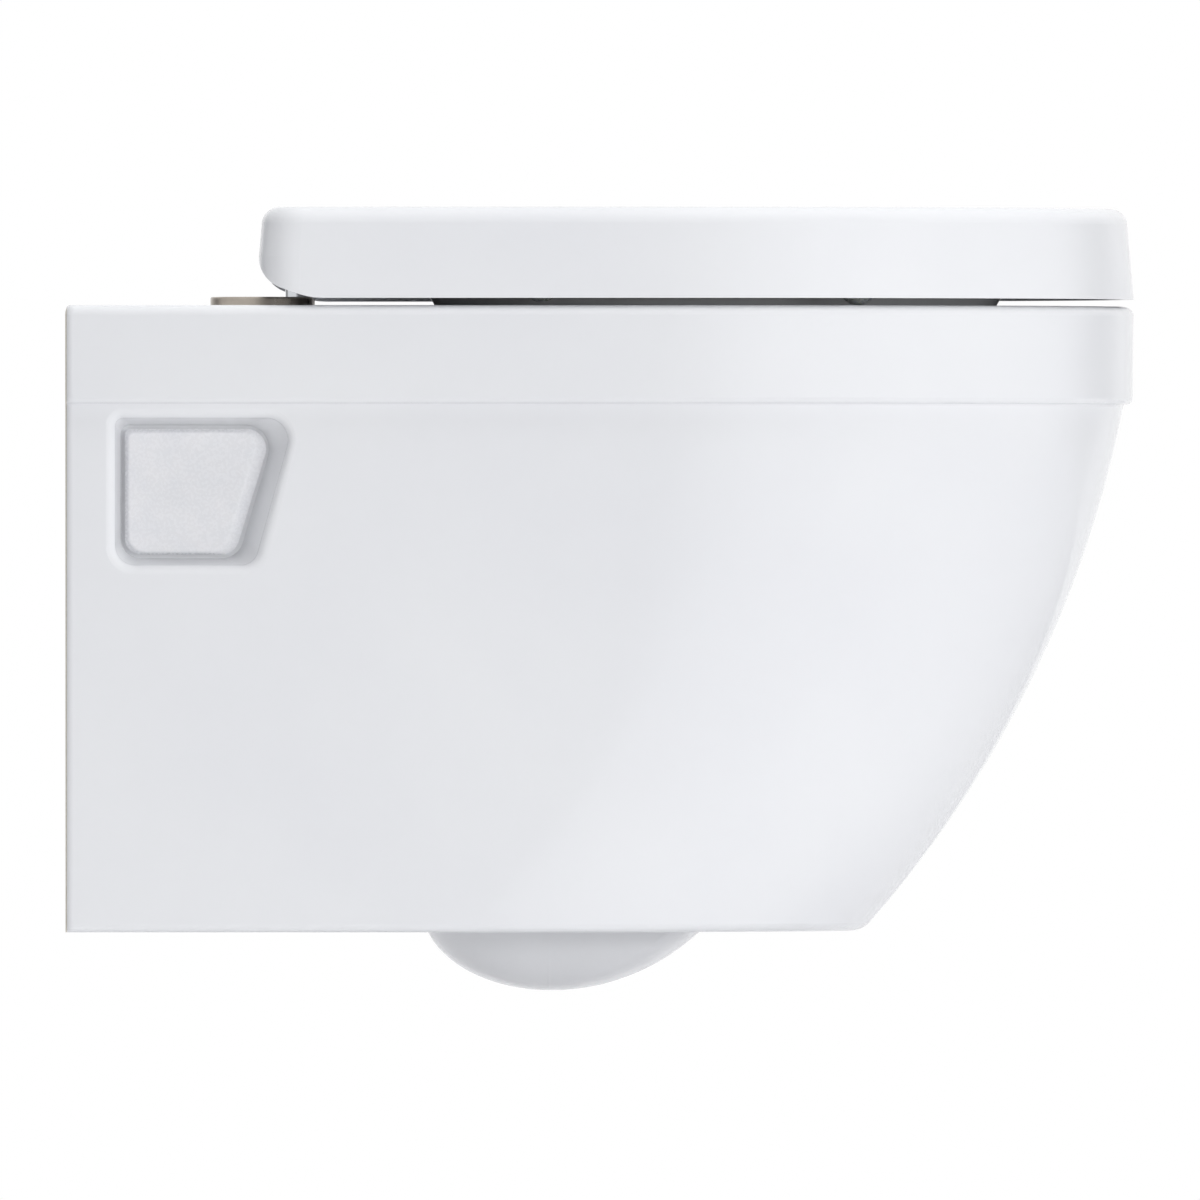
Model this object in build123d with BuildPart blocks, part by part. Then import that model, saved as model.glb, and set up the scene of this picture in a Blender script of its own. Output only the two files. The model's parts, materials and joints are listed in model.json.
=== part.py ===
from build123d import *
import os
from math import atan, cos, degrees, radians, sin, sqrt, tan

# A wall hung toilet. X runs across it, the nose points to -Y, the wall plane is Y = 0 and Z is up.
# The origin is midway between the two wall studs, on the wall. A "reach" is a distance out from the wall.

# Pan: outside
pan_length = 540.0
pan_width = 374.0
rim_top = 80.0  # above the studs
rim_band_height = 49.5
rim_step = 5.4  # how far the skirt is set back under the rim band
band_draft = 0.6
rim_edge_radius = 5.0
rim_rear_rounding = 0.4  # share of that rounding which the edge along the wall gets
wall_edge_radius = 4.0  # of the upright edges beside the wall
step_round = 3.0
step_hollow = 2.0
step_overlap = 0.8  # how far the hollow's top lies inside the band
front_curve_reach = 235.0  # length of the half ellipse in plan, at the rim
skirt_bottom = -236.1
skirt_edge_radius = 4.0
skirt_narrowing = 8.6  # of each flank, from the step to the bottom
front_curve_shortening = 33.0  # of the half ellipse, from the step to the bottom
nose_radius = 557.6  # of the nose in side view
nose_centre_above_rim = 56.0

# Pan: walls
skirt_wall = 11.0
rear_wall = 12.0
deck_thickness = 14.0
bowl_wall = 12.0
trap_wall = 10.0
pocket_wall = 9.0

# Pan: bowl and water trap
rim_width_front = 48.0
rim_width_side = 49.0
bowl_opening_length = 326.0
bowl_edge_radius = 8.0
bowl_widest_from_rear = 134.0
throat_shift = 9.0  # of the widest place, towards the nose
bowl_fullness = 2.5  # powers of the depth by which the sides and front close in
bowl_closing = 1.8
bowl_rear_fullness = 4.0
bowl_rear_closing = 9.0
outlet_drop = 100.0  # from the studs down to the outlet's axis
outlet_bore_radius = 41.0
elbow_radius = 75.0
outlet_lead = 5.0  # of straight bore between the outlet's cylinder and the elbow
upleg_reach = 230.0  # of the rising leg's axis
tongue_bottom = -190.0  # lower edge of the wall between bowl and rising leg
trap_bottom = -266.5
trap_parting_reach = 244.5
trap_front_radius = 110.7
trap_front_centre = -155.8
trap_heel_height = 42.6
outlet_clear_radius = 68.0  # of the opening round the outlet, for a connector
rear_opening_half_width = 125.0
rear_opening_corner = 20.0

# Pan: flush inlet
inlet_height = 35.0
inlet_bore_radius = 27.5
inlet_bore_length = 60.0
nozzle_radius = 22.0
channel_wall = 8.5

# Wall fixing
stud_spacing = 180.0
stud_sleeve_bore_radius = 6.5
stud_sleeve_wall = 2.5
sleeve_clearance = 0.25
sleeve_flange_radius = 13.5
sleeve_flange_thickness = 3.0
pocket_depth = 20.0  # from the flank to the cover's ledge
pocket_mouth_radius = 5.0
pocket_inner_face = 72.0  # half distance between the two chambers
pocket_ledge = 4.0
# Fixing pocket and cover, as reaches and heights: wall side, top, nose side at top and bottom, bottom
mouth_sides = (25.2, 23.0, 115.5, 95.0, -51.0)  # at the inner end of the rounded mouth
mouth_corners = (4.0, 11.0, 9.0, 10.0)
ledge_sides = (28.0, 19.5, 106.5, 87.0, -47.5)
ledge_corners = (4.5, 12.0, 11.0, 10.0)
crown_sides = (31.6, 15.6, 98.0, 80.0, -44.6)  # of the cover's flat middle
crown_corners = (3.5, 7.0, 12.0, 9.0)
cover_groove = 1.8
cover_thickness = 3.0
cover_crown = 3.4
cover_edge_radius = 2.0
cover_clip_length = 14.0
cover_clip_thickness = 2.4
cover_clip_width = 18.0

# Seat and lid
lid_gap = 3.6  # between rim and lid
lid_height = 46.0
lid_draft = 4.9  # degrees
lid_wall = 5.0
lid_rear_reach = 97.4
lid_top_radius = 8.0
lid_rear_corner = 20.5
lid_rear_tuck_radius = 16.7
lid_tuck_above_rim = 24.5
lid_tuck_slope = 19.4  # degrees
lid_tuck_blend = 38.0
lid_rear_edge = 20.0  # height of the rear wall's lower edge above the rim
lid_to_seat = 3.5  # sideways
seat_bottom_above_rim = 7.0
seat_height = 31.0
seat_wall = 5.0
seat_rear_reach = 134.0
seat_rear_corner = 18.0
seat_edge_radius = 10.0
seat_opening_rear = 184.0
seat_opening_length = 288.0
seat_opening_half_width = 106.0
seat_lip_drop = 4.0  # how far the inner lip dips below the rim's top
seat_lip_slope = 30.0  # degrees
seat_lip_height = 16.0

# Buffers
seat_buffer_radius = 10.4
seat_buffer_front = (132.0, 399.5)  # half spacing and reach
seat_buffer_rear = (145.0, 239.6)
seat_buffer_front_gap = 0.3
seat_buffer_rear_gap = 1.8
lid_buffer_radius = 8.0
lid_buffer_front = (108.0, 430.0)
lid_buffer_rear = (141.0, 230.0)
lid_buffer_gap = 0.3
lid_buffer_edge = 2.0
peg_radius = 3.0
peg_length = 7.0
lid_peg_length = 2.0
peg_clearance = 0.1
boss_radius = 8.5

# Hinges
hinge_spacing = 155.0
hinge_hole_reach = 98.4
hinge_hole_radius = 8.0
hinge_axis_reach = 116.5
hinge_axis_above_rim = 28.0
disc_radius = 26.0
disc_height = 4.6
disc_wall = 2.0
disc_top = 1.2
disc_edge_radius = 1.0
gasket_thickness = 0.8
plate_thickness = 2.4
post_radius = 6.25
barrel_radius = 11.0
barrel_length = 34.0
damper_radius = 9.1
damper_clearance = 0.1
damper_end_gap = 0.5
pin_radius = 3.5
pin_end_gap = 1.0
pin_chamfer = 0.5
bush_radius = 5.5
running_clearance = 0.05
part_clearance = 0.3
lug_radius = 10.0
lug_gap = 1.0
lid_lug_width = 15.5
seat_lug_width = 17.5
seat_arm_height = 16.0
post_notch_clearance = 1.75
post_notch_height = 19.5  # above the rear wall's lower edge

# Hinge fixing
bolt_radius = 3.0
bolt_head_radius = 6.0
bolt_length = 44.0
key_socket_radius = 2.3
key_socket_depth = 1.8
plug_bulge_radius = 10.5
plug_shoulder = 5.0  # height of the cone at either end of the bulge
plug_length = 30.0
plug_bore_clearance = 0.1
plug_lip = 1.0  # thickness of the plug's lower edge
cone_length = 8.0
cone_tip_gap = 1.0
nut_tip_wall = 0.5
cone_nut_radius = 7.5
cone_nut_height = 8.0

# Places that follow from the sizes above
half_width = pan_width / 2
band_bottom = rim_top - rim_band_height
skirt_top = band_bottom - step_hollow + step_overlap
deck_bottom = rim_top - deck_thickness
skirt_half_width = half_width - rim_step
skirt_nose = pan_length - rim_step
nose_centre_height = rim_top + nose_centre_above_rim
nose_centre_reach = skirt_nose - sqrt(nose_radius**2 - (nose_centre_height - skirt_top) ** 2)
flank_draft = degrees(atan(skirt_narrowing / (skirt_top - skirt_bottom)))
bowl_front = pan_length - rim_width_front
bowl_rear = bowl_front - bowl_opening_length
bowl_half_width = half_width - rim_width_side
bowl_top = rim_top - bowl_edge_radius
tube_radius = outlet_bore_radius + trap_wall
outlet_straight = upleg_reach - elbow_radius - outlet_lead
throat_middle = bowl_rear + bowl_widest_from_rear + throat_shift
trap_rear_reach = upleg_reach - tube_radius
trap_heel_centre = trap_bottom + trap_heel_height
lid_bottom = rim_top + lid_gap
lid_top = lid_bottom + lid_height
lid_inner_top = lid_top - lid_wall
lid_tuck_height = rim_top + lid_tuck_above_rim
seat_bottom = rim_top + seat_bottom_above_rim
seat_top = seat_bottom + seat_height
hinge_axis_height = rim_top + hinge_axis_above_rim
stud_radius = stud_spacing / 2
sleeve_radius = stud_sleeve_bore_radius + stud_sleeve_wall
stud_hole_radius = sleeve_radius + sleeve_clearance
gasket_radius = disc_radius - disc_wall - part_clearance
plate_bottom = rim_top + gasket_thickness
plate_top = plate_bottom + plate_thickness
hinge_x = hinge_spacing / 2
barrel_start = hinge_x - barrel_length / 2
barrel_end = hinge_x + barrel_length / 2
stud_land = ledge_sides[0] + pocket_ledge
peg_hole_radius = peg_radius + peg_clearance
skirt_low = skirt_bottom + skirt_edge_radius

# How finely the shapes are stepped
round_steps = 5
skirt_levels = 7
bowl_levels = 11
heel_turns = (0, 15, 30, 45, 58, 70, 79, 84.5)  # degrees round the trap's heel


def drafted_half_width(height):
    return skirt_half_width - skirt_narrowing * (skirt_top - height) / (skirt_top - skirt_bottom)


def nose_reach(height, wall=0.0):
    radius = nose_radius - wall
    return nose_centre_reach + sqrt(radius**2 - (nose_centre_height - height) ** 2)


def front_curve(height):
    lowered = (skirt_top - height) / (skirt_top - skirt_bottom)
    return front_curve_reach - rim_step - front_curve_shortening * lowered


def quarter_round(radius):
    """Steps round a quarter circle, each as how far in and how far along."""
    steps = [radians(90 * step / round_steps) for step in range(round_steps + 1)]
    return [(radius * (1 - cos(turn)), radius * sin(turn)) for turn in steps]


def d_outline(height, half, nose, curve, rear=0.0, corner=wall_edge_radius):
    """A straight-sided outline with a half-elliptical nose, flat towards the wall."""
    with BuildSketch(Plane.XY.offset(height)) as outline:
        with BuildLine():
            straight = -(nose - curve)
            back = -(rear + corner)
            EllipticalCenterArc((0, straight), half, curve, start_angle=180, arc_size=180)
            Line((half, straight), (half, back))
            CenterArc((half - corner, back), corner, 0, 90)
            Line((half - corner, -rear), (corner - half, -rear))
            CenterArc((corner - half, back), corner, 90, 90)
            Line((-half, back), (-half, straight))
        make_face()
    return outline.sketch


def oval(height, half, rear, middle, front):
    """Two half ellipses that meet at the reach where the oval is widest."""
    with BuildSketch(Plane.XY.offset(height)) as outline:
        with BuildLine():
            EllipticalCenterArc((0, -middle), half, front - middle, start_angle=180, arc_size=180)
            EllipticalCenterArc((0, -middle), half, middle - rear, start_angle=0, arc_size=180)
        make_face()
    return outline.sketch


def band_outline(height, inset=0.0, rear=0.0):
    drop = max(0.0, rim_top - rim_edge_radius - height)
    shrink = inset + band_draft * drop / rim_band_height
    return d_outline(height, half_width - shrink, pan_length - shrink, front_curve_reach - shrink, rear)


def skirt_outline(height, inset=0.0):
    half = drafted_half_width(height) - inset
    return d_outline(height, half, nose_reach(height) - inset, front_curve(height) - inset)


def cavity_outline(height):
    half = drafted_half_width(height) - skirt_wall
    nose = nose_reach(height, skirt_wall)
    return d_outline(height, half, nose, front_curve(height) - skirt_wall, rear_wall)


def bowl_section(depth_share, wall_share=0):
    """The bowl's oval at a share of the way down, from the opening (0) to the tongue's edge (1)."""
    grow = wall_share * (bowl_wall + (trap_wall - bowl_wall) * depth_share)
    height = bowl_top - depth_share * (bowl_top - tongue_bottom)
    open_share = (1 - depth_share**bowl_fullness) ** bowl_closing
    open_rear_share = (1 - depth_share**bowl_rear_fullness) ** bowl_rear_closing
    throat_half = outlet_bore_radius
    throat_front = trap_front(tongue_bottom, trap_wall)
    throat_rear = upleg_reach + tube_radius
    middle = bowl_rear + bowl_widest_from_rear + throat_shift * depth_share
    half = throat_half + (bowl_half_width - throat_half) * open_share
    front = throat_front + (bowl_front - throat_front) * open_share
    rear = throat_rear + (bowl_rear - throat_rear) * open_rear_share
    return oval(height, half + grow, rear - grow, middle, front + grow)


def trap_front(height, wall=0.0):
    return trap_parting_reach + sqrt((trap_front_radius - wall) ** 2 - (trap_front_centre - height) ** 2)


def trap_section(height, turn, wall):
    """One level of the trap: round under the rising leg and under the throat, straight between."""
    narrowing = cos(radians(turn))
    half = (tube_radius - wall) * narrowing
    rear = trap_parting_reach - (trap_parting_reach - trap_rear_reach - wall) * narrowing
    rear_middle = trap_parting_reach - (trap_parting_reach - upleg_reach) * narrowing
    front_middle = trap_parting_reach + (throat_middle - trap_parting_reach) * narrowing**2
    front = trap_front(height, wall)
    with BuildSketch(Plane.XY.offset(height)) as outline:
        with BuildLine():
            throat_end = front - front_middle
            leg_end = rear_middle - rear
            EllipticalCenterArc((0, -front_middle), half, throat_end, start_angle=180, arc_size=180)
            Line((half, -front_middle), (half, -rear_middle))
            EllipticalCenterArc((0, -rear_middle), half, leg_end, start_angle=0, arc_size=180)
            Line((-half, -rear_middle), (-half, -front_middle))
        make_face()
    return outline.sketch


def trap_sections(top, wall=0.0):
    """The trap's bulge from its upright part down round its heel."""
    drop = trap_heel_height - wall
    heel = [(trap_heel_centre - drop * sin(radians(turn)), turn) for turn in heel_turns]
    return [trap_section(height, turn, wall) for height, turn in [(top, 0)] + heel]


def flank_plane(side, depth):
    """A plane that lies along the drafted flank, a depth inside it."""
    lean = radians(flank_draft)
    normal = (side * cos(lean), 0, -sin(lean))
    surface = drafted_half_width(0) * cos(lean) - depth
    origin = (side * surface / cos(lean), 0, 0)
    return Plane(origin=origin, x_dir=(0, side, 0), z_dir=normal)


def side_plane(side, distance):
    """An upright plane across X, at a distance to one side, drawn as seen on that side's flank."""
    return Plane(origin=(side * distance, 0, 0), x_dir=(0, side, 0), z_dir=(side, 0, 0))


def pocket_outline(plane, side, grow, sides, corners):
    """The pocket's four-sided outline: wall side, top, nose side at the top and bottom, bottom."""
    near, top, far_top, far_bottom, bottom = sides
    near, top, bottom = near - grow, top + grow, bottom - grow
    far_top, far_bottom = far_top + grow, far_bottom + grow
    points = [(near, top), (far_top, top), (far_bottom, bottom), (near, bottom)]
    with BuildSketch(plane) as outline:
        with BuildLine():
            Polyline(*[(-side * reach, height) for reach, height in points], close=True)
        make_face()
        for (reach, height), radius in zip(points, corners):
            fillet(outline.vertices().sort_by_distance((-side * reach, height))[0], radius + grow)
    return outline.sketch


def mouth_outline(plane, side, grow=0.0):
    return pocket_outline(plane, side, grow, mouth_sides, mouth_corners)


def ledge_outline(plane, side, grow=0.0):
    return pocket_outline(plane, side, grow, ledge_sides, ledge_corners)


def bowl_opening(height, grow):
    """The bowl's oval at its rounded upper edge."""
    middle = bowl_rear + bowl_widest_from_rear
    return oval(height, bowl_half_width + grow, bowl_rear - grow, middle, bowl_front + grow)


def lid_outline(height, inset=0.0):
    lean = tan(radians(lid_draft))
    shrink = inset + (height - lid_bottom) * lean
    rear = lid_rear_reach + inset + max(0.0, height - lid_tuck_height) * lean
    nose = pan_length - shrink
    curve = front_curve_reach - shrink
    return d_outline(height, half_width - shrink, nose, curve, rear, lid_rear_corner - inset)


def seat_outline(height, inset=0.0):
    shrink = lid_wall + lid_to_seat + inset + (height - lid_bottom) * tan(radians(lid_draft))
    nose = pan_length - shrink
    curve = front_curve_reach - shrink
    rear = seat_rear_reach + inset
    return d_outline(height, half_width - shrink, nose, curve, rear, seat_rear_corner - inset)


def seat_opening(height, grow=0.0):
    lip_top = rim_top - seat_lip_drop + seat_lip_height
    grow -= max(0.0, lip_top - height) * tan(radians(seat_lip_slope))
    middle = bowl_rear + bowl_widest_from_rear
    front = seat_opening_rear + seat_opening_length
    return oval(height, seat_opening_half_width + grow, seat_opening_rear - grow, middle, front + grow)


def on_hinge(side, distance):
    """A place on the hinge axis, for a cylinder that lies along it."""
    return Location((side * distance, -hinge_axis_reach, hinge_axis_height), (0, 90, 0))


def keep(builder, name):
    builder.part.label = name
    export_step(builder.part, f"parts/{name}.step")


os.makedirs("parts", exist_ok=True)
sides = [(-1, "left"), (1, "right")]
standing = (Align.CENTER, Align.CENTER, Align.MIN)
hanging = (Align.CENTER, Align.CENTER, Align.MAX)
seat_buffers = [(seat_buffer_front, seat_buffer_front_gap), (seat_buffer_rear, seat_buffer_rear_gap)]

with BuildPart() as pan:
    # Rim band, with its rounded top edge and the rounded step below it
    band_low = band_bottom + step_round
    loft([
        band_outline(rim_top - rim_edge_radius + up, inset, rim_rear_rounding * inset)
        for inset, up in quarter_round(rim_edge_radius)
    ])
    loft([band_outline(band_low), band_outline(rim_top - rim_edge_radius)])
    loft([band_outline(band_low - down, inset) for inset, down in quarter_round(step_round)])

    # Skirt, from the hollow under the step to its rounded lower edge
    loft([skirt_outline(skirt_top + up, -out) for out, up in quarter_round(step_hollow)])
    loft([
        skirt_outline(skirt_top + (skirt_low - skirt_top) * level / skirt_levels)
        for level in range(skirt_levels + 1)
    ])
    loft([skirt_outline(skirt_low - down, inset) for inset, down in quarter_round(skirt_edge_radius)])

    # Hollow between skirt and bowl, open at the bottom and round the outlet
    below = skirt_bottom - part_clearance
    loft([
        cavity_outline(skirt_top + (below - skirt_top) * level / skirt_levels)
        for level in range(skirt_levels + 1)
    ], mode=Mode.SUBTRACT)
    with BuildSketch(Plane.XY.offset(skirt_top)):
        add(cavity_outline(skirt_top))
    extrude(amount=deck_bottom - skirt_top, mode=Mode.SUBTRACT)
    with BuildSketch(Plane.XZ):
        with BuildLine():
            rear_bottom = skirt_bottom - rear_opening_corner
            Polyline(
                (-rear_opening_half_width, rear_bottom),
                (-rear_opening_half_width, -outlet_drop),
                (rear_opening_half_width, -outlet_drop),
                (rear_opening_half_width, rear_bottom),
                close=True,
            )
        rear_opening = make_face()
        fillet(rear_opening.vertices(), rear_opening_corner)
        with Locations((0, -outlet_drop)):
            Circle(outlet_clear_radius)
    extrude(amount=rear_wall, mode=Mode.SUBTRACT)

    # Bowl, trap and outlet, solid first
    depth_shares = [level / bowl_levels for level in range(bowl_levels + 1)]
    loft([bowl_section(share, 1) for share in depth_shares])
    with BuildSketch(Plane.XY.offset(bowl_top)):
        add(bowl_section(0, 1))
    extrude(amount=bowl_edge_radius - part_clearance)
    with BuildSketch(Plane.XZ):
        with Locations((0, -outlet_drop)):
            Circle(tube_radius)
    extrude(amount=outlet_straight)
    with BuildLine() as waterway:
        FilletPolyline(
            (0, -outlet_straight, -outlet_drop),
            (0, -upleg_reach, -outlet_drop),
            (0, -upleg_reach, trap_heel_centre),
            radius=elbow_radius,
        )
    with BuildSketch(Plane.XZ.offset(outlet_straight)):
        with Locations((0, -outlet_drop)):
            Circle(tube_radius)
    sweep(path=waterway.line)
    loft(trap_sections(tongue_bottom + trap_wall))

    # Flush channel, solid first
    with BuildSketch(Plane.XZ):
        with Locations((0, inlet_height)):
            Circle(inlet_bore_radius + channel_wall)
    extrude(amount=bowl_rear - bowl_wall / 2)

    # Pocket walls, inside the skirt
    chamber_wall = pocket_wall - pocket_ledge
    for side, name in sides:
        mouth_plane = flank_plane(side, skirt_wall / 2)
        ledge_plane = flank_plane(side, pocket_depth)
        back_plane = flank_plane(side, pocket_depth + pocket_wall)
        inner_plane = side_plane(side, pocket_inner_face - pocket_wall)
        ledge = ledge_outline(ledge_plane, side, pocket_wall)
        loft([ledge, mouth_outline(mouth_plane, side, pocket_wall)])
        loft([ledge, ledge_outline(back_plane, side, pocket_wall)])
        loft([ledge_outline(inner_plane, side, chamber_wall), ledge_outline(ledge_plane, side, chamber_wall)])

    # Bowl, trap and outlet, hollow
    loft([bowl_section(share) for share in depth_shares], mode=Mode.SUBTRACT)
    loft([
        bowl_opening(bowl_top + up, out)
        for out, up in quarter_round(bowl_edge_radius)
    ], mode=Mode.SUBTRACT)
    with BuildSketch(Plane.XZ):
        with Locations((0, -outlet_drop)):
            Circle(outlet_bore_radius)
    extrude(amount=outlet_straight, mode=Mode.SUBTRACT)
    with BuildSketch(Plane.XZ.offset(outlet_straight)):
        with Locations((0, -outlet_drop)):
            Circle(outlet_bore_radius)
    sweep(path=waterway.line, mode=Mode.SUBTRACT)
    loft(trap_sections(tongue_bottom, trap_wall), mode=Mode.SUBTRACT)

    # Flush channel, hollow, with its nozzle into the bowl
    with BuildSketch(Plane.XZ):
        with Locations((0, inlet_height)):
            Circle(inlet_bore_radius)
    extrude(amount=inlet_bore_length, mode=Mode.SUBTRACT)
    with BuildSketch(Plane.XZ):
        with Locations((0, inlet_height)):
            Circle(nozzle_radius)
    extrude(amount=bowl_rear + bowl_wall, mode=Mode.SUBTRACT)

    # Pockets, hollow: the rounded mouth, the tapered wall down to the ledge and the chamber behind it
    for side, name in sides:
        loft([
            mouth_outline(flank_plane(side, pocket_mouth_radius - up), side, out)
            for out, up in quarter_round(pocket_mouth_radius)
        ], mode=Mode.SUBTRACT)
        ledge_plane = flank_plane(side, pocket_depth)
        mouth = mouth_outline(flank_plane(side, pocket_mouth_radius), side)
        loft([mouth, ledge_outline(ledge_plane, side)], mode=Mode.SUBTRACT)
        inner_plane = side_plane(side, pocket_inner_face)
        loft([
            ledge_outline(ledge_plane, side, -pocket_ledge),
            ledge_outline(inner_plane, side, -pocket_ledge),
        ], mode=Mode.SUBTRACT)

    # Stud holes and hinge holes
    with BuildSketch(Plane.XZ):
        with Locations((-stud_radius, 0), (stud_radius, 0)):
            Circle(stud_hole_radius)
    extrude(amount=stud_land, mode=Mode.SUBTRACT)
    with BuildSketch(Plane.XY.offset(rim_top)):
        with Locations((-hinge_x, -hinge_hole_reach), (hinge_x, -hinge_hole_reach)):
            Circle(hinge_hole_radius)
    extrude(amount=-deck_thickness, mode=Mode.SUBTRACT)
keep(pan, "pan")


for side, name in sides:
    # Fixing cover: a crowned plate on the pocket's ledge, held by two spring clips
    with BuildPart() as cover:
        edge = ledge_outline(flank_plane(side, pocket_depth - cover_thickness), side, -cover_groove)
        crown_plane = flank_plane(side, pocket_depth - cover_thickness - cover_crown)
        loft([ledge_outline(flank_plane(side, pocket_depth), side, -cover_groove), edge])
        loft([edge, pocket_outline(crown_plane, side, 0, crown_sides, crown_corners)])
        fillet(cover.faces().sort_by(Axis.X)[-1 if side > 0 else 0].edges(), cover_edge_radius)
        near, top, far_top, far_bottom, bottom = ledge_sides
        clip_inset = pocket_ledge + part_clearance + cover_clip_thickness / 2
        clip_place = -side * (near + far_bottom) / 2
        with BuildSketch(flank_plane(side, pocket_depth)):
            with Locations((clip_place, top - clip_inset), (clip_place, bottom + clip_inset)):
                Rectangle(cover_clip_width, cover_clip_thickness)
        extrude(amount=cover_clip_length, dir=(-side, 0, 0))
    keep(cover, "fixing_cover_" + name)

    # Stud sleeve: lines the stud hole and spreads the nut's load on the pocket's rear wall
    with BuildPart() as sleeve:
        with BuildSketch(Plane.XZ):
            with Locations((side * stud_radius, 0)):
                Circle(sleeve_radius)
        extrude(amount=stud_land)
        with BuildSketch(Plane.XZ.offset(stud_land)):
            with Locations((side * stud_radius, 0)):
                Circle(sleeve_flange_radius)
        extrude(amount=sleeve_flange_thickness)
        with BuildSketch(Plane.XZ):
            with Locations((side * stud_radius, 0)):
                Circle(stud_sleeve_bore_radius)
        extrude(amount=stud_land + sleeve_flange_thickness, mode=Mode.SUBTRACT)
    keep(sleeve, "stud_sleeve_" + name)


with BuildPart() as lid:
    # Drafted shell, from its lower edge to its rounded top
    loft([lid_outline(lid_bottom), lid_outline(lid_tuck_height)])
    loft([lid_outline(lid_tuck_height), lid_outline(lid_top - lid_top_radius)])
    loft([lid_outline(lid_top - lid_top_radius + up, inset) for inset, up in quarter_round(lid_top_radius)])
    loft([lid_outline(lid_bottom, lid_wall), lid_outline(lid_tuck_height, lid_wall)], mode=Mode.SUBTRACT)
    loft([lid_outline(lid_tuck_height, lid_wall), lid_outline(lid_inner_top, lid_wall)], mode=Mode.SUBTRACT)

    # Lower rear corner, rounded so that it clears the rim as it turns
    with BuildSketch(Plane.YZ) as tuck:
        with BuildLine():
            tuck_top = (-lid_rear_reach, lid_tuck_height)
            rear_arc = JernArc(tuck_top, (0, -1), lid_rear_tuck_radius, lid_tuck_slope - 90)
            level_arc_rise = lid_tuck_blend * (1 - cos(radians(lid_tuck_slope)))
            slope_fall = (rear_arc @ 1).Y - lid_bottom - level_arc_rise
            slope_run = slope_fall / tan(radians(lid_tuck_slope))
            slope = Line(rear_arc @ 1, rear_arc @ 1 + Vector(-slope_run, -slope_fall))
            level = JernArc(slope @ 1, rear_arc % 1, lid_tuck_blend, -lid_tuck_slope)
            Polyline(level @ 1, ((level @ 1).X, rim_top), (part_clearance, rim_top),
                     (part_clearance, lid_tuck_height), rear_arc @ 0)
        make_face()
    extrude(amount=half_width, both=True, mode=Mode.SUBTRACT)

    # Rear wall, open below the hinges and notched at their posts
    wall_lean = lid_height * tan(radians(lid_draft))
    through_wall = 2 * (lid_wall + wall_lean)
    rear_gap_width = 2 * (half_width - lid_rear_corner - lid_wall)
    rear_gap_height = 2 * (rim_top + lid_rear_edge - lid_bottom)
    with Locations((0, -lid_rear_reach, lid_bottom)):
        Box(rear_gap_width, through_wall, rear_gap_height, mode=Mode.SUBTRACT)
    for side, name in sides:
        with Locations((side * hinge_x, -lid_rear_reach, rim_top + lid_rear_edge)):
            notch_width = 2 * (post_radius + post_notch_clearance)
            Box(notch_width, through_wall, 2 * post_notch_height, mode=Mode.SUBTRACT)

    # Hinge lugs, hung from the lid's top, and their bush bores
    for side, name in sides:
        lug_middle = barrel_end + lug_gap + lid_lug_width / 2
        with Locations(on_hinge(side, lug_middle)):
            Cylinder(lug_radius, lid_lug_width)
        web_height = lid_inner_top - hinge_axis_height + lid_wall / 2
        with Locations((side * lug_middle, -hinge_axis_reach, hinge_axis_height)):
            Box(lid_lug_width, 2 * lug_radius, web_height, align=standing)
        with Locations(on_hinge(side, lug_middle)):
            Cylinder(bush_radius + running_clearance, lid_lug_width, mode=Mode.SUBTRACT)

    # Peg holes of the buffers
    for half_spacing, reach in (lid_buffer_front, lid_buffer_rear):
        with Locations((-half_spacing, -reach, lid_inner_top), (half_spacing, -reach, lid_inner_top)):
            hole_depth = lid_peg_length + peg_clearance
            Cylinder(peg_hole_radius, hole_depth, align=standing, mode=Mode.SUBTRACT)
keep(lid, "lid")


# The hollow under the seat, between its outer wall and the wall round its opening
seat_shoulder = seat_top - seat_edge_radius
lip_bottom = rim_top - seat_lip_drop
lip_top = lip_bottom + seat_lip_height
with BuildPart() as seat_hollow:
    loft([seat_outline(seat_bottom, seat_wall), seat_outline(seat_shoulder, seat_wall)])
    loft([
        seat_outline(seat_shoulder + up, seat_wall + inset)
        for inset, up in quarter_round(seat_edge_radius - seat_wall)
    ])
    loft([seat_opening(lip_bottom, seat_wall), seat_opening(lip_top, seat_wall)], mode=Mode.SUBTRACT)
    loft([seat_opening(lip_top, seat_wall), seat_opening(seat_top, seat_wall)], mode=Mode.SUBTRACT)

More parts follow.
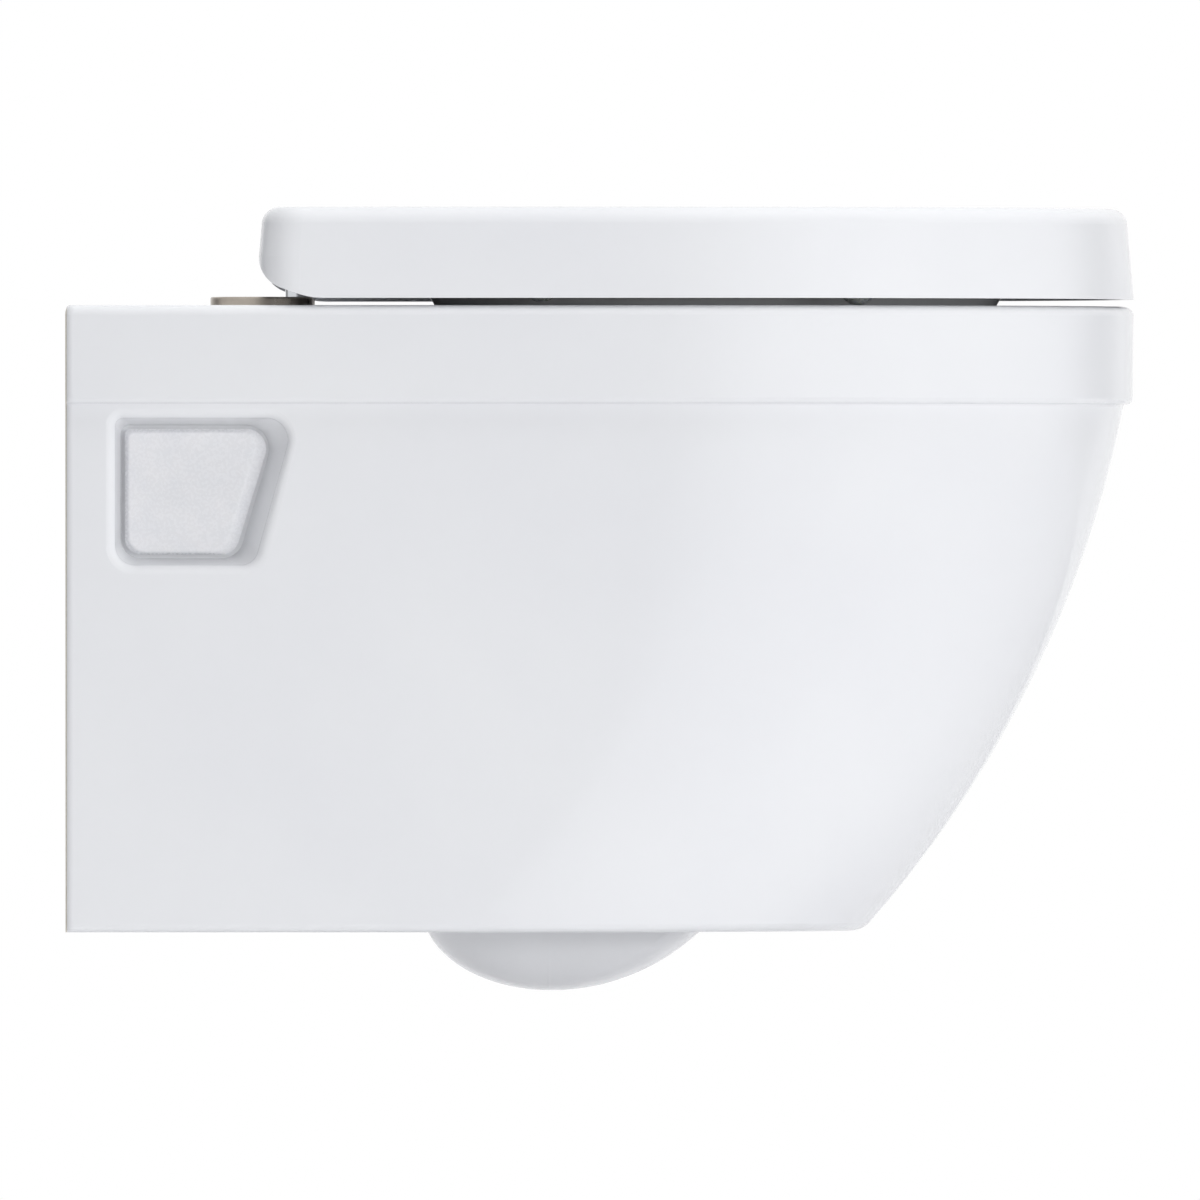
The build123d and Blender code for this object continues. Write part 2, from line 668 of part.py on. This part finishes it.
with BuildPart() as seat_ring:
    # Drafted outer wall with a rounded top, and the sloping lip that dips into the bowl
    loft([seat_outline(seat_bottom), seat_outline(seat_shoulder)])
    loft([seat_outline(seat_shoulder + up, inset) for inset, up in quarter_round(seat_edge_radius)])
    loft([seat_opening(lip_bottom, seat_wall), seat_opening(lip_top, seat_wall)])
    add(seat_hollow.part, mode=Mode.SUBTRACT)
    loft([seat_opening(lip_bottom), seat_opening(lip_top)], mode=Mode.SUBTRACT)
    loft([seat_opening(lip_top), seat_opening(seat_shoulder)], mode=Mode.SUBTRACT)
    loft([
        seat_opening(seat_shoulder + up, out)
        for out, up in quarter_round(seat_edge_radius)
    ], mode=Mode.SUBTRACT)

    # Hinge arms and buffer bosses
    for side, name in sides:
        lug_middle = barrel_start - lug_gap - seat_lug_width / 2
        arm_length = seat_rear_reach + seat_wall - hinge_axis_reach
        with Locations(on_hinge(side, lug_middle)):
            Cylinder(lug_radius, seat_lug_width)
        with Locations((side * lug_middle, -hinge_axis_reach - arm_length / 2, hinge_axis_height)):
            Box(seat_lug_width, arm_length, seat_arm_height)
        with Locations(on_hinge(side, lug_middle)):
            Cylinder(bush_radius + running_clearance, seat_lug_width, mode=Mode.SUBTRACT)
    for (half_spacing, reach), gap in seat_buffers:
        boss_bottom = rim_top + gap + seat_buffer_radius
        with Locations((-half_spacing, -reach, boss_bottom), (half_spacing, -reach, boss_bottom)):
            Cylinder(boss_radius, seat_top - seat_wall / 2 - boss_bottom, align=standing)
            Cylinder(peg_hole_radius, peg_length + peg_clearance, align=standing, mode=Mode.SUBTRACT)
keep(seat_ring, "seat_ring")


# Buffers under the seat and under the lid
for side, name in sides:
    for ((half_spacing, reach), gap), place in zip(seat_buffers, ("front", "rear")):
        dome_top = (side * half_spacing, -reach, rim_top + gap + seat_buffer_radius)
        with BuildPart() as seat_buffer:
            with Locations(dome_top):
                Sphere(seat_buffer_radius, arc_size1=-90, arc_size2=0, align=hanging)
                Cylinder(peg_radius, peg_length, align=standing)
        keep(seat_buffer, f"seat_buffer_{place}_{name}")
    for (half_spacing, reach), place in ((lid_buffer_front, "front"), (lid_buffer_rear, "rear")):
        buffer_height = lid_inner_top - seat_top - lid_buffer_gap
        with BuildPart() as lid_buffer:
            with Locations((side * half_spacing, -reach, seat_top + lid_buffer_gap)):
                Cylinder(lid_buffer_radius, buffer_height, align=standing)
            fillet(lid_buffer.edges().sort_by(Axis.Z)[0], lid_buffer_edge)
            with Locations((side * half_spacing, -reach, lid_inner_top)):
                Cylinder(peg_radius, lid_peg_length, align=standing)
        keep(lid_buffer, f"lid_buffer_{place}_{name}")


for side, name in sides:
    # Soft ring between the hinge's plate and the ceramic
    with BuildPart() as gasket:
        with Locations((side * hinge_x, -hinge_hole_reach, rim_top)):
            Cylinder(gasket_radius, gasket_thickness, align=standing)
            Cylinder(hinge_hole_radius, gasket_thickness, align=standing, mode=Mode.SUBTRACT)
    keep(gasket, "hinge_gasket_" + name)

    # Hinge casting: plate, post and barrel
    bolt_head_height = bolt_head_radius - bolt_radius
    with BuildPart() as hinge_post:
        with Locations((side * hinge_x, -hinge_hole_reach, plate_bottom)):
            Cylinder(gasket_radius, plate_thickness, align=standing)
            Cylinder(bolt_radius + part_clearance, plate_thickness, align=standing, mode=Mode.SUBTRACT)
        with Locations((side * hinge_x, -hinge_hole_reach, plate_top - bolt_head_height)):
            Cone(bolt_radius + part_clearance, bolt_head_radius + part_clearance, bolt_head_height,
                 align=standing, mode=Mode.SUBTRACT)
        with Locations((side * hinge_x, -hinge_axis_reach, plate_bottom)):
            Cylinder(post_radius, hinge_axis_height - plate_bottom, align=standing)
        with Locations(on_hinge(side, hinge_x)):
            Cylinder(barrel_radius, barrel_length)
            Cylinder(damper_radius + damper_clearance, barrel_length, mode=Mode.SUBTRACT)
    keep(hinge_post, "hinge_post_" + name)

    # Cover disc, let down over the plate and round the post
    with BuildPart() as disc:
        with Locations((side * hinge_x, -hinge_hole_reach, rim_top)):
            Cylinder(disc_radius, disc_height, align=standing)
        fillet(disc.edges().sort_by(Axis.Z)[-1], disc_edge_radius)
        with Locations((side * hinge_x, -hinge_hole_reach, rim_top)):
            Cylinder(disc_radius - disc_wall, disc_height - disc_top, align=standing, mode=Mode.SUBTRACT)
        with Locations((side * hinge_x, -hinge_axis_reach, rim_top)):
            Cylinder(post_radius + part_clearance, disc_height, align=standing, mode=Mode.SUBTRACT)
    keep(disc, "hinge_disc_" + name)

    # Soft-close damper in the barrel
    with BuildPart() as damper:
        with Locations(on_hinge(side, hinge_x)):
            Cylinder(damper_radius, barrel_length - 2 * damper_end_gap)
            Cylinder(pin_radius + running_clearance, barrel_length, mode=Mode.SUBTRACT)
    keep(damper, "hinge_damper_" + name)

    # Hinge pin, through the seat's lug, the damper and the lid's lug
    pin_start = barrel_start - lug_gap - seat_lug_width + pin_end_gap
    pin_end = barrel_end + lug_gap + lid_lug_width - pin_end_gap
    with BuildPart() as pin:
        with Locations(on_hinge(side, (pin_start + pin_end) / 2)):
            Cylinder(pin_radius, pin_end - pin_start)
        chamfer(pin.edges().filter_by(GeomType.CIRCLE), pin_chamfer)
    keep(pin, "hinge_pin_" + name)

    # Bushes in the lugs
    for owner, start, width in (
        ("seat", barrel_start - lug_gap - seat_lug_width, seat_lug_width),
        ("lid", barrel_end + lug_gap, lid_lug_width),
    ):
        with BuildPart() as bush:
            with Locations(on_hinge(side, start + width / 2)):
                Cylinder(bush_radius, width)
                Cylinder(pin_radius + running_clearance, width, mode=Mode.SUBTRACT)
        keep(bush, f"{owner}_bush_{name}")

    # Countersunk fixing bolt with its key socket
    with BuildPart() as bolt:
        with Locations((side * hinge_x, -hinge_hole_reach, plate_top - bolt_head_height)):
            Cone(bolt_radius, bolt_head_radius, bolt_head_height, align=standing)
        with Locations((side * hinge_x, -hinge_hole_reach, plate_top - bolt_length)):
            Cylinder(bolt_radius, bolt_length - bolt_head_height / 2, align=standing)
        with BuildSketch(Plane.XY.offset(plate_top)):
            with Locations((side * hinge_x, -hinge_hole_reach)):
                RegularPolygon(key_socket_radius, side_count=6)
        extrude(amount=-key_socket_depth, mode=Mode.SUBTRACT)
    keep(bolt, "fixing_bolt_" + name)

    # Rubber plug, spread below the deck by the cone nut that the bolt draws up into it
    upright = Plane(origin=(side * hinge_x, -hinge_hole_reach, 0), x_dir=(1, 0, 0), z_dir=(0, -1, 0))
    upright_axis = Axis((side * hinge_x, -hinge_hole_reach, 0), (0, 0, 1))
    plug_top = rim_top - part_clearance
    plug_bottom = plug_top - plug_length
    plug_radius = hinge_hole_radius - part_clearance
    bore = bolt_radius + plug_bore_clearance
    cone_mouth = plug_radius - plug_lip
    with BuildPart() as plug:
        with BuildSketch(upright):
            with BuildLine():
                bulge_top = deck_bottom - part_clearance
                bulge_bottom = plug_bottom + part_clearance
                Polyline(
                    (bore, plug_top),
                    (plug_radius, plug_top),
                    (plug_radius, bulge_top),
                    (plug_bulge_radius, bulge_top - plug_shoulder),
                    (plug_bulge_radius, bulge_bottom + plug_shoulder),
                    (plug_radius, bulge_bottom),
                    (plug_radius, plug_bottom),
                    (cone_mouth, plug_bottom),
                    (bore, plug_bottom + cone_length),
                    (bore, plug_top),
                )
            make_face()
        revolve(axis=upright_axis)
    keep(plug, "expanding_plug_" + name)

    with BuildPart() as nut:
        with BuildSketch(upright):
            with BuildLine():
                nut_bore = bolt_radius + running_clearance
                flange_top = plug_bottom - part_clearance
                cone_tip = plug_bottom + cone_length - cone_tip_gap
                Polyline(
                    (nut_bore, cone_tip),
                    (nut_bore + nut_tip_wall, cone_tip),
                    (cone_mouth - part_clearance, plug_bottom),
                    (cone_mouth - part_clearance, flange_top),
                    (cone_nut_radius, flange_top),
                    (cone_nut_radius, flange_top - cone_nut_height),
                    (nut_bore, flange_top - cone_nut_height),
                    close=True,
                )
            make_face()
        revolve(axis=upright_axis)
    keep(nut, "cone_nut_" + name)
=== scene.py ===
import bmesh
import bpy
import json
import math
from mathutils import Matrix, Vector


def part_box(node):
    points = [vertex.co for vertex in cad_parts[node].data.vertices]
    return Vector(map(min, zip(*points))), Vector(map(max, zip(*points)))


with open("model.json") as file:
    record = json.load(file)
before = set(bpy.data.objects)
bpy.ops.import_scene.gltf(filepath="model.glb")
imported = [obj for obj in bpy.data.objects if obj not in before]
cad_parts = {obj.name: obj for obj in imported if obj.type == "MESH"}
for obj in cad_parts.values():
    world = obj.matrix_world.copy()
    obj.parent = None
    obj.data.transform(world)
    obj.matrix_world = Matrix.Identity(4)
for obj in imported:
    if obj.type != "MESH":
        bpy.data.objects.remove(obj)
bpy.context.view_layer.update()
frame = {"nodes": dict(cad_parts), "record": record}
cadNodes = frame["nodes"]
slotOf = {part["node"]: part["material_slot"] for part in frame["record"]["subparts"]}
print("frame loaded:", len(cadNodes), "nodes")


# Small helpers for the shaders

def linear(colour):  # sRGB hex to the linear values a shader takes
    parts = [int(colour[i:i + 2], 16) / 255 for i in (1, 3, 5)]
    return [p / 12.92 if p <= 0.04045 else ((p + 0.055) / 1.055) ** 2.4 for p in parts] + [1.0]


def addNode(tree, kind, settings, sockets):  # a socket takes a value or another node's output
    node = tree.nodes.new(kind)
    for name, value in settings.items():
        setattr(node, name, value)
    for name, value in sockets.items():
        if isinstance(value, bpy.types.NodeSocket):
            tree.links.new(value, node.inputs[name])
        else:
            node.inputs[name].default_value = value
    return node


def startMaterial(name, fixed):
    material = bpy.data.materials.new(name)
    material.use_nodes = True
    tree = material.node_tree
    tree.nodes.clear()
    place = addNode(tree, "ShaderNodeTexCoord", {}, {}).outputs["Object"]
    shader = addNode(tree, "ShaderNodeBsdfPrincipled", {}, fixed)
    addNode(tree, "ShaderNodeOutputMaterial", {}, {"Surface": shader.outputs["BSDF"]})
    return material, tree, place, shader


def noise(tree, place, size, detail=2.0):  # size in metres, about the width of one blotch
    sockets = {"Vector": place, "Scale": 1 / size, "Detail": detail, "Roughness": 0.5}
    return addNode(tree, "ShaderNodeTexNoise", {}, sockets).outputs["Fac"]


def spread(tree, value, low, high, fromLow=0.3, fromHigh=0.7):
    sockets = {"Value": value, "From Min": fromLow, "From Max": fromHigh, "To Min": low, "To Max": high}
    return addNode(tree, "ShaderNodeMapRange", {}, sockets).outputs["Result"]


def near(tree, value, middle, width):  # 1 at the middle, fading to 0 at a width to either side
    away = addNode(tree, "ShaderNodeMath", {"operation": "SUBTRACT"}, {0: value, 1: middle}).outputs[0]
    away = addNode(tree, "ShaderNodeMath", {"operation": "ABSOLUTE"}, {0: away}).outputs[0]
    settings = {"interpolation_type": "SMOOTHSTEP"}
    sockets = {"Value": away, "From Min": 0.0, "From Max": width, "To Min": 1.0, "To Max": 0.0}
    return addNode(tree, "ShaderNodeMapRange", settings, sockets).outputs["Result"]


def times(tree, a, b):
    return addNode(tree, "ShaderNodeMath", {"operation": "MULTIPLY"}, {0: a, 1: b}).outputs[0]


def blendColour(tree, share, first, second):
    sockets = {"Factor": share, 6: first, 7: second}
    return addNode(tree, "ShaderNodeMix", {"data_type": "RGBA"}, sockets).outputs[2]


def blendValue(tree, share, first, second):
    sockets = {0: share, 2: first, 3: second}
    return addNode(tree, "ShaderNodeMix", {"data_type": "FLOAT"}, sockets).outputs[0]


def addBump(tree, shader, height, depth, below=None):  # depth in metres at height 1
    sockets = {"Height": height, "Distance": depth, "Strength": 1.0}
    if below:
        sockets["Normal"] = below
    bump = addNode(tree, "ShaderNodeBump", {}, sockets).outputs["Normal"]
    tree.links.new(bump, shader.inputs["Normal"])
    return bump


# Vitreous china: fired clay under a clear glaze. A hard, deep gloss that waves a little, and bare clay
# where the piece stood against its setter: the face that goes to the wall.
china = {
    "glaze": "#EEEFF1", "glazeCool": "#EAEBEE", "clay": "#DCD6C8", "clayDark": "#CFC8B8",
    "ior": 1.52, "glazeRoughness": (0.05, 0.10), "clayRoughness": 0.82,
    "tintWidth": 0.14, "waveWidth": 0.030, "waveDepth": 0.00004, "rippleWidth": 0.004, "rippleDepth": 0.0000025,
    "grainWidth": 0.0012, "grainDepth": 0.00006,
    "bareFrom": 0.0009,  # the bare clay starts this far in front of the wall face
    "seamReach": 0.2435, "seamWidth": 0.0011, "seamDepth": 0.00012, "seamTop": -0.165, "seamFade": 0.01,
    "seamHalfSpan": 0.06,
}


def vitreousChina():
    material, tree, place, shader = startMaterial("vitreousChinaGlaze", {"IOR": china["ior"]})
    axes = addNode(tree, "ShaderNodeSeparateXYZ", {}, {"Vector": place})
    bare = spread(tree, axes.outputs["Y"], 0.0, 1.0, -china["bareFrom"], -china["bareFrom"] * 0.6)
    tint = spread(tree, noise(tree, place, china["tintWidth"]), 0.0, 1.0)
    glaze = blendColour(tree, tint, linear(china["glaze"]), linear(china["glazeCool"]))
    grain = noise(tree, place, china["grainWidth"], 4.0)
    clay = blendColour(tree, spread(tree, grain, 0.0, 1.0), linear(china["clay"]), linear(china["clayDark"]))
    tree.links.new(blendColour(tree, bare, glaze, clay), shader.inputs["Base Color"])

    gloss = spread(tree, noise(tree, place, china["waveWidth"]), *china["glazeRoughness"])
    tree.links.new(blendValue(tree, bare, gloss, china["clayRoughness"]), shader.inputs["Roughness"])

    wave = addBump(tree, shader, noise(tree, place, china["waveWidth"], 1.0), china["waveDepth"])
    ripple = addBump(tree, shader, noise(tree, place, china["rippleWidth"], 1.0), china["rippleDepth"], wave)
    clayGrain = addBump(tree, shader, times(tree, grain, bare), china["grainDepth"], ripple)

    # The mould's parting line, down the middle of the trap's bulge
    onTrap = times(
        tree,
        spread(tree, axes.outputs["Z"], 1.0, 0.0, china["seamTop"] - china["seamFade"], china["seamTop"]),
        near(tree, axes.outputs["X"], 0.0, china["seamHalfSpan"]),
    )
    seam = near(tree, axes.outputs["Y"], -china["seamReach"], china["seamWidth"])
    addBump(tree, shader, times(tree, seam, onTrap), china["seamDepth"], clayGrain)
    return material


# Plastics and rubbers: each is moulded, so its colour barely changes and its gloss wanders a little
blotchShare = 8  # how many times wider the colour's blotches are than the relief
plastics = {
    # thermoset moulding, pressed hot in a polished die: as white as the china, a softer gloss
    "seat_plastic": {"name": "ureaThermosetPolished", "colour": "#EEEFF1", "tint": "#EAEBEE",
                     "roughness": (0.10, 0.16), "ior": 1.55, "width": 0.020, "depth": 0.00002},
    # ABS moulding with a satin tool finish
    "cover_plastic": {"name": "absSatin", "colour": "#ECECEE", "tint": "#E7E8EB",
                      "roughness": (0.22, 0.32), "ior": 1.53, "width": 0.0015, "depth": 0.000012},
    # natural nylon: waxy, cream, faintly cloudy
    "nylon": {"name": "nylonNatural", "colour": "#E2E0D4", "tint": "#D8D5C6",
              "roughness": (0.34, 0.46), "ior": 1.53, "width": 0.0030, "depth": 0.00003},
    # acetal moulding, grey, dry to the touch
    "damper_plastic": {"name": "acetalGrey", "colour": "#6C7076", "tint": "#62666C",
                       "roughness": (0.36, 0.46), "ior": 1.48, "width": 0.0020, "depth": 0.00002},
    # carbon-filled rubber, moulded: dull with a dusty bloom
    "plug_rubber": {"name": "rubberBlack", "colour": "#232426", "tint": "#303134",
                    "roughness": (0.60, 0.78), "ior": 1.52, "width": 0.0025, "depth": 0.00005},
    # white rubber, matt
    "buffer_rubber": {"name": "rubberWhite", "colour": "#E8E9EA", "tint": "#DEDFE0",
                      "roughness": (0.50, 0.62), "ior": 1.50, "width": 0.0020, "depth": 0.00003},
    # soft PVC sheet, slightly cloudy
    "soft_pvc": {"name": "softVinyl", "colour": "#D9DCDF", "tint": "#CDD1D5",
                 "roughness": (0.30, 0.42), "ior": 1.52, "width": 0.0030, "depth": 0.00002},
}


def mouldedPlastic(look):
    material, tree, place, shader = startMaterial(look["name"], {"IOR": look["ior"]})
    blotch = spread(tree, noise(tree, place, look["width"] * blotchShare), 0.0, 1.0)
    base = blendColour(tree, blotch, linear(look["colour"]), linear(look["tint"]))
    tree.links.new(base, shader.inputs["Base Color"])
    fine = noise(tree, place, look["width"], 3.0)
    tree.links.new(spread(tree, fine, *look["roughness"]), shader.inputs["Roughness"])
    addBump(tree, shader, fine, look["depth"])
    return material


# Translucent elastomer: light goes in and comes out milky, so the domes glow at their edges
elastomer = {"colour": "#EEF1F3", "tint": "#E2E7EA", "roughness": (0.22, 0.34), "width": 0.004,
             "depth": 0.00002, "ior": 1.43, "clear": 0.25, "scatter": 0.8, "scatterRadius": (0.004, 0.004, 0.005)}


def clearElastomer():
    fixed = {"IOR": elastomer["ior"], "Subsurface Weight": elastomer["scatter"],
             "Subsurface Radius": elastomer["scatterRadius"], "Subsurface Scale": 1.0,
             "Transmission Weight": elastomer["clear"]}
    material, tree, place, shader = startMaterial("elastomerTranslucent", fixed)
    cloud = noise(tree, place, elastomer["width"], 3.0)
    share = spread(tree, cloud, 0.0, 1.0)
    base = blendColour(tree, share, linear(elastomer["colour"]), linear(elastomer["tint"]))
    tree.links.new(base, shader.inputs["Base Color"])
    tree.links.new(spread(tree, cloud, *elastomer["roughness"]), shader.inputs["Roughness"])
    addBump(tree, shader, cloud, elastomer["depth"])
    return material


# Metals: turned and brushed ones carry rings or lines round their axis, which stretch the highlight
cloudWidth = 0.012  # of the patches in a metal's colour and gloss
metals = {
    # nickel plate, brushed in circles: warm grey with soft, streaked light
    "brushed_nickel": {"name": "nickelBrushed", "colour": "#B8B0A6", "tint": "#A69D93",
                       "roughness": (0.24, 0.36), "lineWidth": 0.0006, "lineDepth": 0.000012},
    # chrome over zinc: near mirror, cool
    "chromed_zinc": {"name": "chromePolished", "colour": "#D5D8DB", "tint": "#CDD0D4",
                     "roughness": (0.05, 0.10), "lineWidth": 0.004, "lineDepth": 0.000002},
    # stainless steel, turned: fine feed lines along the axis
    "stainless_steel": {"name": "stainlessTurned", "colour": "#BDBCB9", "tint": "#B1B0AC",
                        "roughness": (0.20, 0.30), "lineWidth": 0.0005, "lineDepth": 0.000010},
    # brass bar, turned: yellow with a dull film in places
    "brass": {"name": "brassTurned", "colour": "#C9A961", "tint": "#A98A4C",
              "roughness": (0.22, 0.38), "lineWidth": 0.0006, "lineDepth": 0.000012},
}


def turnedMetal(look, centre, direction):
    material, tree, place, shader = startMaterial(look["name"], {"Metallic": 1.0})
    sockets = {"Vector": place, "Location": [-c for c in centre]}
    centred = addNode(tree, "ShaderNodeMapping", {}, sockets).outputs["Vector"]
    cloud = noise(tree, place, cloudWidth, 3.0)
    base = blendColour(tree, spread(tree, cloud, 0.0, 1.0), linear(look["colour"]), linear(look["tint"]))
    tree.links.new(base, shader.inputs["Base Color"])
    tree.links.new(spread(tree, cloud, *look["roughness"]), shader.inputs["Roughness"])
    settings = {"wave_type": "RINGS", "rings_direction": direction, "wave_profile": "SIN"}
    sockets = {"Vector": centred, "Scale": 0.1 / look["lineWidth"], "Distortion": 1.5, "Detail": 2.0,
               "Detail Scale": 1.5}
    rings = addNode(tree, "ShaderNodeTexWave", settings, sockets).outputs["Fac"]
    addBump(tree, shader, rings, look["lineDepth"])
    return material


ringAxis = {"hinge_pin": "X"}  # the other turned pieces stand upright


def dress():
    shared = {"china": vitreousChina(), "clear_buffer": clearElastomer()}
    for slot, look in plastics.items():
        shared[slot] = mouldedPlastic(look)
    for name, node in cadNodes.items():
        slot = slotOf[name]
        if slot in metals:
            low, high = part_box(name)
            stem = name.rsplit("_", 1)[0]
            finish = turnedMetal(metals[slot], (low + high) / 2, ringAxis.get(stem, "Z"))
        else:
            finish = shared[slot]
        node.data.materials.clear()
        node.data.materials.append(finish)
    print("finishes:", len(bpy.data.materials))


dress()


# Camera: the photograph's exact side view, from far off so that it is as good as parallel
camera = {"lens": 1700.0, "sensor": 36.0, "distance": 28.729, "reach": 0.26937, "height": -0.0686,
          "nearest": 1.0, "farthest": 60.0}


def placeCamera():
    data = bpy.data.cameras.new("sideCamera")
    data.lens, data.sensor_width = camera["lens"], camera["sensor"]
    data.clip_start, data.clip_end = camera["nearest"], camera["farthest"]
    eye = bpy.data.objects.new("sideCamera", data)
    eye.location = (-camera["distance"], -camera["reach"], camera["height"])
    eye.rotation_euler = (math.pi / 2, 0.0, -math.pi / 2)
    bpy.context.scene.collection.objects.link(eye)
    bpy.context.scene.camera = eye


placeCamera()


# Floor: a pale disc under the object, below the photograph's frame, that fades into the white all round
floor = {"height": -0.42, "radius": 2.3, "sides": 96, "fadeFrom": 0.9, "fadeTo": 2.116,
         "colour": "#F4F4F5", "tint": "#EFEFF0", "grainWidth": 0.3, "grainShare": (0.98, 1.0), "roughness": 0.6}


def layFloor():
    mesh = bpy.data.meshes.new("studioFloor")
    bm = bmesh.new()
    middle = Matrix.Translation((0.0, -camera["reach"], floor["height"]))
    bmesh.ops.create_circle(bm, cap_ends=True, segments=floor["sides"], radius=floor["radius"], matrix=middle)
    bmesh.ops.recalc_face_normals(bm, faces=bm.faces)
    bm.to_mesh(mesh)
    bm.free()
    disc = bpy.data.objects.new("studioFloor", mesh)
    bpy.context.scene.collection.objects.link(disc)

    material, tree, place, shader = startMaterial("paperSweep", {"Roughness": floor["roughness"]})
    grain = spread(tree, noise(tree, place, floor["grainWidth"]), *floor["grainShare"])
    paper = blendColour(tree, grain, linear(floor["tint"]), linear(floor["colour"]))
    tree.links.new(paper, shader.inputs["Base Color"])
    shift = (0.0, camera["reach"], -floor["height"])
    centred = addNode(tree, "ShaderNodeMapping", {}, {"Vector": place, "Location": shift})
    length = addNode(tree, "ShaderNodeVectorMath", {"operation": "LENGTH"}, {0: centred.outputs["Vector"]})
    edge = spread(tree, length.outputs["Value"], 0.0, 1.0, floor["fadeFrom"], floor["fadeTo"])
    seen = addNode(tree, "ShaderNodeLightPath", {}, {})
    white = addNode(tree, "ShaderNodeEmission", {}, {"Color": (1.0, 1.0, 1.0, 1.0), "Strength": 1.0})
    share = times(tree, edge, seen.outputs["Is Camera Ray"])
    sockets = {0: share, 1: shader.outputs["BSDF"], 2: white.outputs["Emission"]}
    mixed = addNode(tree, "ShaderNodeMixShader", {}, sockets)
    output = [n for n in tree.nodes if n.type == "OUTPUT_MATERIAL"][0]
    tree.links.new(mixed.outputs["Shader"], output.inputs["Surface"])
    mesh.materials.append(material)


layFloor()


# World: white behind everything, and dim even light on the object. Glossy surfaces also mirror the studio's dark
# flags, which stand upright round it.
world = {"ambient": 0.40, "ambientColour": "#F2F3F6", "flagHeight": 0.55, "flags": (
    {"azimuth": 0.0, "halfWidth": 22.0, "dark": 0.60},
    {"azimuth": 122.0, "halfWidth": 26.0, "dark": 0.85},
    {"azimuth": -122.0, "halfWidth": 26.0, "dark": 0.85},
)}


def lightWorld():
    sky = bpy.data.worlds.new("whiteStudio")
    sky.use_nodes = True
    bpy.context.scene.world = sky
    tree = sky.node_tree
    tree.nodes.clear()
    path = addNode(tree, "ShaderNodeLightPath", {}, {})
    direction = addNode(tree, "ShaderNodeTexCoord", {}, {}).outputs["Generated"]
    axes = addNode(tree, "ShaderNodeSeparateXYZ", {}, {"Vector": direction})
    back = times(tree, axes.outputs["X"], -1.0)
    toNose = times(tree, axes.outputs["Y"], -1.0)
    turn = addNode(tree, "ShaderNodeMath", {"operation": "ARCTAN2"}, {0: toNose, 1: back}).outputs[0]
    level = near(tree, axes.outputs["Z"], 0.0, world["flagHeight"])
    bright = None
    for flag in world["flags"]:
        strip = near(tree, turn, math.radians(flag["azimuth"]), math.radians(flag["halfWidth"]))
        shade = times(tree, times(tree, strip, level), flag["dark"])
        left = addNode(tree, "ShaderNodeMath", {"operation": "SUBTRACT"}, {0: 1.0, 1: shade}).outputs[0]
        bright = left if bright is None else times(tree, bright, left)
    mirrored = addNode(tree, "ShaderNodeBackground", {}, {"Color": (1.0, 1.0, 1.0, 1.0), "Strength": bright})
    white = addNode(tree, "ShaderNodeBackground", {}, {"Color": (1.0, 1.0, 1.0, 1.0), "Strength": 1.0})
    even = addNode(tree, "ShaderNodeBackground", {},
                   {"Color": linear(world["ambientColour"]), "Strength": world["ambient"]})
    glossy = addNode(tree, "ShaderNodeMixShader", {},
                     {0: path.outputs["Is Glossy Ray"], 1: even.outputs[0], 2: mirrored.outputs[0]})
    through = addNode(tree, "ShaderNodeMixShader", {},
                      {0: path.outputs["Is Transmission Ray"], 1: glossy.outputs[0], 2: white.outputs[0]})
    seen = addNode(tree, "ShaderNodeMixShader", {},
                   {0: path.outputs["Is Camera Ray"], 1: through.outputs[0], 2: white.outputs[0]})
    addNode(tree, "ShaderNodeOutputWorld", {}, {"Surface": seen.outputs[0]})


lightWorld()


# Lamps: one large soft key ahead of the nose on the photographed side, a flat strip level with the gap under
# the lid, a top light that the floor throws back up, a small one close below for the trap, and a fill from the
# far side. Azimuth is measured from the photographed side towards the nose, and rise is above the camera's aim.
lamps = {
    "keySoftbox": {"azimuth": 41.0, "elevation": 10.0, "distance": 4.5, "width": 2.2, "height": 2.2,
                   "rise": 0.0, "power": 66.0},
    "gapStrip": {"azimuth": 22.0, "elevation": 0.0, "distance": 4.5, "width": 3.0, "height": 0.22,
                 "rise": 0.150, "power": 24.0},
    "topSoftbox": {"azimuth": 0.0, "elevation": 88.0, "distance": 3.0, "width": 2.6, "height": 2.6,
                   "rise": 0.0, "power": 58.0},
    "lowSoftbox": {"azimuth": 28.0, "elevation": -38.0, "distance": 0.9, "width": 0.9, "height": 0.3,
                   "rise": -0.08, "power": 1.5},
    "farSoftbox": {"azimuth": 205.0, "elevation": 18.0, "distance": 4.5, "width": 2.4, "height": 2.4,
                   "rise": 0.0, "power": 66.0},
}


def hangLamps():
    for name, lamp in lamps.items():
        target = Vector((0.0, -camera["reach"], camera["height"] + lamp["rise"]))
        data = bpy.data.lights.new(name, "AREA")
        data.shape, data.size, data.size_y = "RECTANGLE", lamp["width"], lamp["height"]
        data.energy = lamp["power"]
        turn, rise = math.radians(lamp["azimuth"]), math.radians(lamp["elevation"])
        away = Vector((-math.cos(turn) * math.cos(rise), -math.sin(turn) * math.cos(rise), math.sin(rise)))
        box = bpy.data.objects.new(name, data)
        box.location = target + away * lamp["distance"]
        box.rotation_euler = (-away).to_track_quat("-Z", "Y").to_euler()
        box.visible_camera = False
        box.visible_glossy = False  # the glaze mirrors the white studio, not the lamps' edges
        bpy.context.scene.collection.objects.link(box)


hangLamps()
bpy.context.scene.view_settings.view_transform = "Standard"
print("studio: camera, floor, world and", len(lamps), "lamps")
